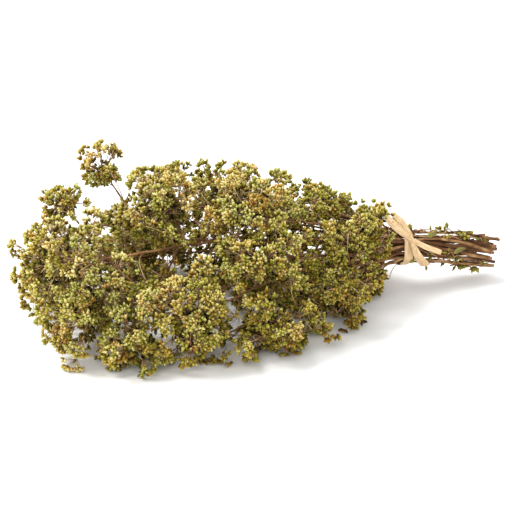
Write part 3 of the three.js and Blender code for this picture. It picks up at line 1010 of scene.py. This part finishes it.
@dataclass
class SideShoots:
    """Thin shoots that leave the stems inside the mass, in opposite pairs, each with small tufts of
    buds along its end. They fill the hollows between the heads."""

    stem_count: int
    start_x: float = 72.0
    gap: float = 30.0
    length: tuple[float, float] = (12.0, 26.0)
    tufts: int = 2
    radius: float = 0.32

    def build(self, material: bpy.types.Material) -> None:
        """Makes the shoots, one piece for each stem.

        Args:
            material: the bloom finish.
        """
        for number in range(1, self.stem_count + 1):
            self.on_stem(number, material)

    def on_stem(self, number: int, material: bpy.types.Material) -> None:
        """Makes one stem's shoots.

        Args:
            number: the stem's number.
            material: the bloom finish.
        """
        rng = np.random.default_rng(900 + number)
        head = FlowerHead(number)
        line = spline(rod_centres(f"stem_{head.label}")[0], 400)
        way = unit(np.gradient(line, axis=0))
        length = np.concatenate([[0], np.cumsum(np.linalg.norm(np.diff(line, axis=0), axis=1))])
        if line[-1, 0] > self.start_x:
            return
        first = length[np.argmax(line[:, 0] < self.start_x)]
        stations = np.arange(first, length[-1], self.gap)
        if len(stations) == 0:
            return
        index = np.searchsorted(length, stations + rng.uniform(-3, 3, len(stations))).clip(1, 398)
        index = np.repeat(index, 2)
        start, along = line[index], way[index]
        turn = rng.uniform(0, 2 * math.pi, len(index) // 2)
        turn = np.stack([turn, turn + math.pi], 1).ravel() + rng.normal(0, 0.3, len(index))
        side = unit(np.cross(along, np.array([0.0, 0.0, 1.0])))
        up = np.cross(along, side)
        outward = side * np.cos(turn)[:, None] + up * np.sin(turn)[:, None]
        reach = rng.uniform(*self.length, len(index))[:, None]
        end = start + (along * 0.75 + outward * 0.66) * reach
        end[:, 2] = np.maximum(end[:, 2], 3.0)
        bend = start + outward * 0.45 * reach + along * 0.2 * reach
        shoots = Fabric()
        shoots.add(head.stalk_rods(start, bend, end, (self.radius, 0.2), (0.1, 0.7), 7, 4))
        for j in range(self.tufts):
            t = 1.0 - 0.24 * j
            root = (1 - t) ** 2 * start + 2 * t * (1 - t) * bend + t**2 * end
            lean = unit(outward * (0.4 + 0.5 * j) + along + 0.5 * rng.normal(size=root.shape))
            tip = root + lean * (2.0 + 1.6 * j)
            tip[:, 2] = np.maximum(tip[:, 2], 2.5)
            shoots.add(head.stalk_rods(root, (root + tip) / 2, tip, (0.2, 0.16), (0.5, 0.9), 3, 3))
            # Painted shade: tufts on the shoots, inside the mass, are a little darker than the heads' outer
            # tufts.
            shoots.add(head.cymes(tip, lean, head.clump_hue(rng), head.painted_light_at(tip, lean) - 0.12, rng))
        shoots.piece(f"side_shoots_{head.label}", Slot.FLOWER_HEAD, material, [])


@dataclass
class BareTwigs:
    """Thin crooked shoots that lie on the bare stems beyond the tie, with the small leaves and the
    few buds that were left on them. Their place round the stems is given by an angle that drifts."""

    count: int = 34
    first: float = 6.0
    last: float = 46.0
    end: float = 57.0
    length: tuple[float, float] = (14.0, 34.0)
    radius: tuple[float, float] = (0.3, 0.55)
    drift: float = 0.7
    proud: tuple[float, float] = (-1.6, 1.4)
    stray: float = 0.7
    tufts: int = 2
    leaf_length: tuple[float, float] = (3.5, 6.5)

    def stems_at(self, x: np.ndarray) -> tuple[np.ndarray, np.ndarray]:
        """The middle of the bare stems at each place along X, and how far out they reach there."""
        lines = [rod_centres(name)[0][::-1] for name in sorted(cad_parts) if name.startswith("stem_")]
        across = np.array([[np.interp(x, line[:, 0], line[:, k]) for k in (1, 2)] for line in lines])
        middle = across.mean(0)
        reach = np.linalg.norm(across - middle, axis=1).max(0)
        return middle, reach

    def build(self, tie_x: float, material: bpy.types.Material) -> bpy.types.Object:
        """Makes the twigs with what is on them, as one piece.

        Args:
            tie_x: where the raffia is.
            material: the bloom finish, whose last tones are bark.

        Returns:
            The twigs.
        """
        rng = np.random.default_rng(77)
        head = FlowerHead(1)
        steps = 9
        share = np.linspace(0, 1, steps)[None]
        start = tie_x + rng.uniform(self.first, self.last, (self.count, 1))
        run = share * rng.uniform(*self.length, (self.count, 1))
        x = start + run * rng.choice([-1, 1, 1], (self.count, 1))
        x = np.clip(x, tie_x + 3.0, tie_x + self.end)
        angle = rng.uniform(-0.9, 4.6, (self.count, 1)) + share * rng.normal(0, self.drift, (self.count, 1))
        middle, reach = self.stems_at(x.ravel())
        out = reach.reshape(x.shape) + rng.uniform(*self.proud, (self.count, 1)) + 3.0 * (share - 0.6).clip(0)
        out = out + rng.normal(0, self.stray, x.shape)
        angle = angle + rng.normal(0, 0.06, x.shape)
        paths = np.stack([x, middle[0].reshape(x.shape) + out * np.cos(angle),
                          middle[1].reshape(x.shape) + out * np.sin(angle)], -1)
        paths[..., 2] = np.maximum(paths[..., 2], 2.5)
        thick = rng.uniform(*self.radius, (self.count, 1)) * (1.1 - 0.5 * share)
        low, high = STALK_TONES
        tone = low + (high - low) * np.clip(rng.uniform(0, 1, (self.count, 1)) + 0.1 * share, 0, 1)
        twigs = Fabric()
        twigs.add(rods(paths, thick, 6, tone, np.clip(rng.normal(0.5, 0.3, x.shape), 0, 1)))
        for j in range(self.tufts):
            at = paths[np.arange(self.count), rng.integers(3, steps, self.count)]
            away = np.stack([0 * angle[:, 0], np.cos(angle[:, 0]), np.sin(angle[:, 0])], -1)
            lean = unit(away + 0.7 * rng.normal(size=at.shape))
            if j == 0:
                some = rng.random(self.count) < 0.6
                # Painted light: the buds out on the twigs get a middling share of it.
                twigs.add(head.cymes(at[some], lean[some], 0.3, rng.normal(0.4, 0.15, int(some.sum())), rng))
            self.leaves(twigs, at, lean, rng)
        return twigs.piece("bare_twigs", Slot.STEM, material, [])

    def leaves(self, twigs: Fabric, at: np.ndarray, lean: np.ndarray, rng: np.random.Generator) -> None:
        """Adds a pair of small folded leaves at each place: a diamond creased along its middle, its
        underside closed by a second one.

        Args:
            twigs: the mesh being gathered.
            at: where each pair is.
            lean: which way it stands.
            rng: the source of the sizes and turns.
        """
        at = np.repeat(at, 2, axis=0)
        count = len(at)
        along = unit(np.repeat(lean, 2, axis=0) + 0.8 * rng.normal(size=at.shape))
        side = unit(np.cross(along, rng.normal(size=at.shape)))
        up = np.cross(side, along)
        size = rng.uniform(*self.leaf_length, (count, 1))
        middle = at + along * size * 0.5
        corners = np.stack([at, middle + side * size * 0.24 + up * size * 0.1,
                            middle - side * size * 0.24 + up * size * 0.1, middle - up * size * 0.05,
                            middle - up * size * 0.11, at + along * size + up * size * 0.16], 1)
        corners[..., 2] = np.maximum(corners[..., 2], 1.0)
        faces = np.array([[0, 1, 3], [0, 3, 2], [5, 3, 1], [5, 2, 3],
                          [0, 4, 1], [0, 2, 4], [5, 1, 4], [5, 4, 2]])
        palette = np.empty((count, 6, 2))
        low, high = BUD_HUES
        palette[..., 0] = low + (high - low) * rng.uniform(0, 0.35, (count, 1))
        # Painted shade: darker at the foot, in the crease and on the underside; paler on the raised sides and
        # at the tip.
        fade = np.array([0.2, 0.6, 0.6, 0.35, 0.3, 0.7]) + rng.normal(0, 0.12, (count, 1))
        palette[..., 1] = np.clip(fade, 0, 1)
        triangles = faces[None] + (np.arange(count) * 6)[:, None, None]
        twigs.add(Surface(corners.reshape(-1, 3), triangles.reshape(-1, 3), palette.reshape(-1, 2)))


# ---- leaves ---------------------------------------------------------------------------------------
@dataclass
class DryLeaf:
    """A small leaf that has curled as it dried: a grid whose half width follows a sine raised to a
    power, bent along its length and rolled across, given a thickness by a second sheet under it."""

    number: int
    rows: int = 17
    columns: int = 9
    thickness: float = 0.22

    def build(self, material: bpy.types.Material) -> bpy.types.Object:
        """Makes the leaf in its CAD node's place.

        Args:
            material: the leaf finish.

        Returns:
            The leaf.
        """
        rng = np.random.default_rng(1300 + self.number)
        name = f"leaf_{self.number:02d}"
        points, _ = node_mesh(name)
        middle = points.mean(0)
        _, axes = np.linalg.eigh(np.cov((points - middle).T))
        lengthways, across = axes[:, 2], axes[:, 1]
        normal = np.cross(lengthways, across)
        spans = [np.ptp((points - middle) @ axis) for axis in (lengthways, across)]
        s = np.linspace(0, 1, self.rows)[:, None]
        t = np.linspace(-1, 1, self.columns)[None, :]
        half = spans[1] * 0.5 * np.sin(math.pi * np.clip(s, 0.004, 0.996)) ** 0.8
        ripple = 0.35 * np.sin(3 * math.pi * s + rng.uniform(0, 6)) * np.abs(t)
        lift = 0.9 * t**2 * np.sin(math.pi * s) - 1.1 * (2 * s - 1) ** 2
        lift = lift + ripple - 0.25 * np.exp(-(t * 5) ** 2)
        u = (s - 0.5) * spans[0] * np.ones_like(t)
        v = half * t * 0.85
        sheet = middle + u[..., None] * lengthways + v[..., None] * across + lift[..., None] * normal
        tone = np.clip(0.45 + 0.3 * np.abs(t) + rng.normal(0, 0.08, lift.shape), 0, 1)
        depth = np.clip(0.4 + 0.5 * s + 0 * t + rng.normal(0, 0.1, lift.shape), 0, 1)
        leaf = Fabric()
        leaf.add(closed_sheet(sheet, self.thickness, np.stack([tone, depth], -1)))
        piece = leaf.piece(f"dry_{name}", Slot.LEAF, material, [name])
        smooth(piece)
        return piece


def closed_sheet(sheet: np.ndarray, thickness: float, palette: np.ndarray) -> Surface:
    """A grid with a second grid under it, moved back by the thickness along the surface's own
    direction, and the four edges joined.

    Args:
        sheet: rows by columns by three.
        thickness: from face to face.
        palette: rows by columns by two.

    Returns:
        A closed surface.
    """
    rows, columns = sheet.shape[:2]
    normal = unit(np.cross(np.gradient(sheet, axis=0), np.gradient(sheet, axis=1)))
    both = np.stack([sheet + normal * thickness / 2, sheet - normal * thickness / 2])
    index = np.arange(2 * rows * columns).reshape(2, rows, columns)
    top, under = index
    a, b, c, d = top[:-1, :-1], top[1:, :-1], top[1:, 1:], top[:-1, 1:]
    upper = np.stack([a, b, c, a, c, d], -1).reshape(-1, 3)
    a, b, c, d = under[:-1, :-1], under[1:, :-1], under[1:, 1:], under[:-1, 1:]
    lower = np.stack([a, c, b, a, d, c], -1).reshape(-1, 3)
    rim = np.concatenate([np.arange(columns), np.arange(1, rows) * columns + columns - 1,
                          (rows - 1) * columns + np.arange(columns - 2, -1, -1),
        np.arange(rows - 2, 0, -1) * columns])
    ahead = np.roll(rim, -1)
    far = rows * columns
    edge = np.stack([rim, ahead, ahead + far, rim, ahead + far, rim + far], -1).reshape(-1, 3)
    twice = np.concatenate([palette, palette]).reshape(-1, 2)
    return Surface(both.reshape(-1, 3), np.vstack([upper, lower, edge]), twice)


# ---- raffia ---------------------------------------------------------------------------------------
@dataclass
class Ribbon:
    """One run of a raffia strip. Its route is given beside the stems: how far along from the tie,
    how many degrees round, and how far out from the stems."""

    route: list[tuple[float, float, float]]
    widths: list[float]
    fold: float = 0.5
    steps: int = 60
    twist: float = 0.0
    faces: tuple[float, float, float] | None = None


@dataclass
class RaffiaTie:
    """Two strips of raffia, each wound round the stems and tied in one half knot at the top front,
    with their ends standing up to the flowers and hanging down over the stems."""

    columns: int = 13
    thickness: float = 0.22
    creases: int = 5
    crease_depth: float = 0.13

    def reach(self, origin: np.ndarray) -> np.ndarray:
        """How far out from the middle of the tie the stems push a taut strip, at each degree round it."""
        turn = np.radians(np.arange(361))
        ways = np.stack([np.cos(turn), np.sin(turn)], -1)
        furthest = np.zeros(len(turn))
        for name in sorted(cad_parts):
            if name.startswith("stem_"):
                line, radius = rod_centres(name)
                line = line[np.argsort(line[:, 0])]
                at = np.array([np.interp(origin[0], line[:, 0], line[:, k]) for k in (1, 2)]) - origin[1:]
                furthest = np.maximum(furthest, ways @ at + radius)
        return furthest

    def strip(self, ribbon: Ribbon, origin: np.ndarray, reach: np.ndarray, column: int,
              columns: int) -> Surface:
        """A flat strip along its route: across it runs from edge to edge, raised by a shallow fold
        and by fine creases that run its length.

        Args:
            ribbon: the run of strip.
            origin: the middle of the stems at the tie.
            reach: how far out the stems push a strip, at each degree.
            column: which column of the finish's map is this strip's own.
            columns: how many columns the map has.

        Returns:
            The closed strip.
        """
        route = spline(np.array(ribbon.route), ribbon.steps)
        angle = np.radians(route[:, 1])
        outward = np.stack([0 * angle, np.cos(angle), np.sin(angle)], -1)
        path = origin + outward * (route[:, 2] + np.interp(route[:, 1] % 360, np.arange(361), reach))[:, None]
        path[:, 0] += route[:, 0]
        along = unit(np.gradient(path, axis=0))
        width_way = unit(np.cross(outward if ribbon.faces is None else np.array(ribbon.faces), along))
        lean = ribbon.twist * np.linspace(0, 1, ribbon.steps)[:, None]
        face = np.cross(along, width_way)
        width_way = width_way * np.cos(lean) + face * np.sin(lean)
        face = np.cross(along, width_way)
        done = np.linspace(0, 1, ribbon.steps)
        widths = np.interp(done, np.linspace(0, 1, len(ribbon.widths)), ribbon.widths)
        t = np.linspace(-1, 1, self.columns)[None, :]
        s = np.linspace(0, 1, ribbon.steps)[:, None]
        rise = ribbon.fold * (1 - t**2) * np.ones_like(s)
        rise = rise + self.crease_depth * np.cos(self.creases * math.pi * t + 2.5 * np.sin(5 * s + column))
        aside = width_way[:, None] * (widths[:, None] * t / 2)[..., None]
        sheet = path[:, None] + aside + face[:, None] * rise[..., None]
        across = (column + 0.08 + 0.84 * (0.5 + 0.5 * t) * np.ones_like(s)) / columns
        return closed_sheet(sheet, self.thickness, np.stack([across, 0.02 + 0.96 * s * np.ones_like(t)], -1))

    def build(self, material: bpy.types.Material) -> float:
        """Makes the two strips. Each first run winds round the stems, and the others are its ends.

        Args:
            material: the raffia finish.

        Returns:
            Where the tie is along X.
        """
        bands = [node_mesh(name)[0] for name in ("raffia_strip_left", "raffia_strip_right")]
        back = [band[band[:, 1] > band[:, 1].max() - 0.4] for band in bands]
        seam = (back[0][:, 0].max() + back[1][:, 0].min()) / 2
        middle_z = float(np.mean([edge[:, 2].mean() for edge in back]))
        lowest = min(band[:, 2].min() for band in bands)
        inner = middle_z - float(lowest) - 0.8
        origin = np.array([seam, 0.0, middle_z])
        origin[1] = float(np.mean([band[:, 1].max() for band in bands])) - inner - 0.8
        reach = self.reach(origin)
        r = 0.35
        left = [
            Ribbon([(-1.6, 132 + 360 * k / 12, r + (0.5 if k in (0, 12) else 0)) for k in range(13)],
                   [3.0, 3.6, 4.0, 3.6, 3.0], fold=0.25, steps=110),
            Ribbon([(0.8, 150, r + 0.9), (-0.6, 136, r + 1.9), (-4.4, 125, r + 4.2), (-11.6, 120, r + 11),
                    (-19.4, 116, r + 19)], [2.6, 2.6, 3.6, 4.8, 5.2, 5.2, 4.6], fold=0.7, twist=0.3,
                   faces=(-0.5, -1.0, 0.3)),
            Ribbon([(-1.8, 128, r + 0.9), (0.6, 140, r + 2.0), (5.2, 154, r + 2.6), (13, 172, r + 3.4),
                    (22, 186, r + 4.8)], [2.6, 2.6, 3.0, 3.8, 3.9, 3.7, 3.4], fold=0.6, twist=-0.35),
        ]
        right = [
            Ribbon([(1.5, 136 + 360 * k / 12, r + 0.1) for k in range(13)],
                   [2.6, 3.6, 3.9, 3.6, 2.6], fold=0.25, steps=110),
            Ribbon([(2.0, 146, r + 1.3), (1.0, 130, r + 2.6), (-1.8, 119, r + 5.4), (-6.4, 114, r + 12),
                    (-12.4, 111, r + 17.6)], [2.6, 2.6, 3.6, 4.8, 5.2, 5.0, 4.4], fold=0.8, twist=-0.3,
                   faces=(-0.2, -1.0, 0.3)),
            Ribbon([(0.4, 126, r + 1.3), (1.6, 142, r + 1.4), (2.6, 166, r + 2.6), (5.4, 192, r + 4.4),
                    (10.5, 212, r + 6.4)], [2.6, 2.8, 3.2, 4.0, 5.2, 6.4, 7.0], fold=0.7, twist=0.45),
        ]
        runs = len(left) + len(right)
        for name, strips, first in (("left", left, 0), ("right", right, len(left))):
            tie = Fabric()
            for i, ribbon in enumerate(strips):
                tie.add(self.strip(ribbon, origin, reach, first + i, runs))
            piece = tie.piece(f"raffia_{name}", Slot.RAFFIA, material, [f"raffia_strip_{name}"])
            smooth(piece)
        return seam


# ---- stage ----------------------------------------------------------------------------------------
@dataclass(frozen=True)
class Studio:
    """The camera, the pale floor and the soft light round the bunch. Lengths here are in metres."""

    azimuth: float = -18.0
    elevation: float = 21.0
    lens: float = 85.0
    distance: float = 0.807
    target: tuple[float, float, float] = (-0.0128, -0.0047, 0.0362)
    floor_size: float = 30.0
    sky: float = 0.92
    key: float = 3.0
    key_angle: float = 32.0
    key_from: tuple[float, float, float] = (-0.6, 0.3, 1.0)
    fill: float = 0.6
    fill_from: tuple[float, float, float] = (-0.5, -0.9, 0.8)

    def camera(self) -> None:
        """Makes the camera, looking at the target from its azimuth and elevation."""
        turn, rise = math.radians(self.azimuth), math.radians(self.elevation)
        back = Vector((math.sin(turn) * math.cos(rise), -math.cos(turn) * math.cos(rise), math.sin(rise)))
        data = bpy.data.cameras.new("camera")
        data.lens = self.lens
        data.clip_end = 30.0
        made = bpy.data.objects.new("camera", data)
        made.location = Vector(self.target) + back * self.distance
        made.rotation_euler = back.to_track_quat("Z", "Y").to_euler()
        bpy.context.scene.collection.objects.link(made)
        bpy.context.scene.camera = made

    def floor(self) -> None:
        """Makes the floor, a plain white sheet at the height of the CAD model's underside."""
        half = self.floor_size / 2
        mesh = bpy.data.meshes.new("floor")
        low = CAD_BOX[0][2]
        corners = [(-half, -half, low), (half, -half, low), (half, half, low), (-half, half, low)]
        mesh.from_pydata(corners, [], [(0, 1, 2, 3)])
        material = bpy.data.materials.new("floor")
        material.use_nodes = True
        material.node_tree.nodes["Principled BSDF"].inputs["Base Color"].default_value = (0.93, 0.93, 0.93, 1)
        material.node_tree.nodes["Principled BSDF"].inputs["Roughness"].default_value = 0.9
        mesh.materials.append(material)
        made = bpy.data.objects.new("floor", mesh)
        bpy.context.scene.collection.objects.link(made)
        made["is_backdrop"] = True

    def sun(self, name: str, comes_from: tuple[float, float, float], angle: float, strength: float) -> None:
        """Adds a distant soft light.

        Args:
            name: its name.
            comes_from: the direction that it comes from.
            angle: how wide it looks, in degrees; a wider one throws softer shadows.
            strength: in watts a square metre.
        """
        data = bpy.data.lights.new(name, "SUN")
        data.angle = math.radians(angle)
        data.energy = strength
        made = bpy.data.objects.new(name, data)
        made.rotation_euler = Vector(comes_from).to_track_quat("Z", "Y").to_euler()
        bpy.context.scene.collection.objects.link(made)

    def build(self) -> None:
        """Makes the camera, the floor, the sky and the lights."""
        scene = bpy.context.scene
        scene.view_settings.view_transform = "Standard"
        world = bpy.data.worlds.new("sky")
        scene.world = world
        world.use_nodes = True
        tree = world.node_tree
        backdrop = tree.nodes["Background"]
        backdrop.inputs["Color"].default_value = (1, 1, 1, 1)
        ray = tree.nodes.new("ShaderNodeLightPath")
        strength = tree.nodes.new("ShaderNodeMapRange")
        strength.inputs["To Min"].default_value = self.sky
        strength.inputs["To Max"].default_value = 1.0
        tree.links.new(ray.outputs["Is Camera Ray"], strength.inputs["Value"])
        tree.links.new(strength.outputs["Result"], backdrop.inputs["Strength"])
        self.camera()
        self.floor()
        self.sun("key", self.key_from, self.key_angle, self.key)
        self.sun("fill", self.fill_from, self.key_angle, self.fill)


def main() -> None:
    """Builds the bunch in the order of its making and reports each part."""
    logging.basicConfig(level=logging.INFO, format="%(name)s: %(message)s")
    Studio().build()
    bloom, bark, leaf = BLOOM_FINISH.build(), STEM_FINISH.build(), LEAF_FINISH.build()
    numbers = sorted(int(name[-2:]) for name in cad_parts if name.startswith("stem_"))
    tie_x = RaffiaTie().build(RaffiaFinish().build())
    for number in numbers:
        Stem(number).build(bark)
    BareTwigs().build(tie_x, bloom)
    outlines = read_outlines(numbers, OUTLINE_GAP, OUTLINE_PRESS)
    for number, outline in outlines.items():
        if number in LONERS:
            FlowerHead(number, loose=False, sprays=3, spray_reach=(3.0, 8.0)).build(outline, bloom)
        else:
            FlowerHead(number).build(outline, bloom)
    SideBranches().build(outlines, bloom)
    SideShoots(len(numbers)).build(bloom)
    for name in sorted(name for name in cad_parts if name.startswith("leaf_")):
        DryLeaf(int(name[-2:])).build(leaf)
    total = sum(len(piece.data.polygons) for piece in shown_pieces() if piece.type == "MESH")
    log.info("whole bunch: %d triangles", total)


if __name__ == "__main__":
    main()
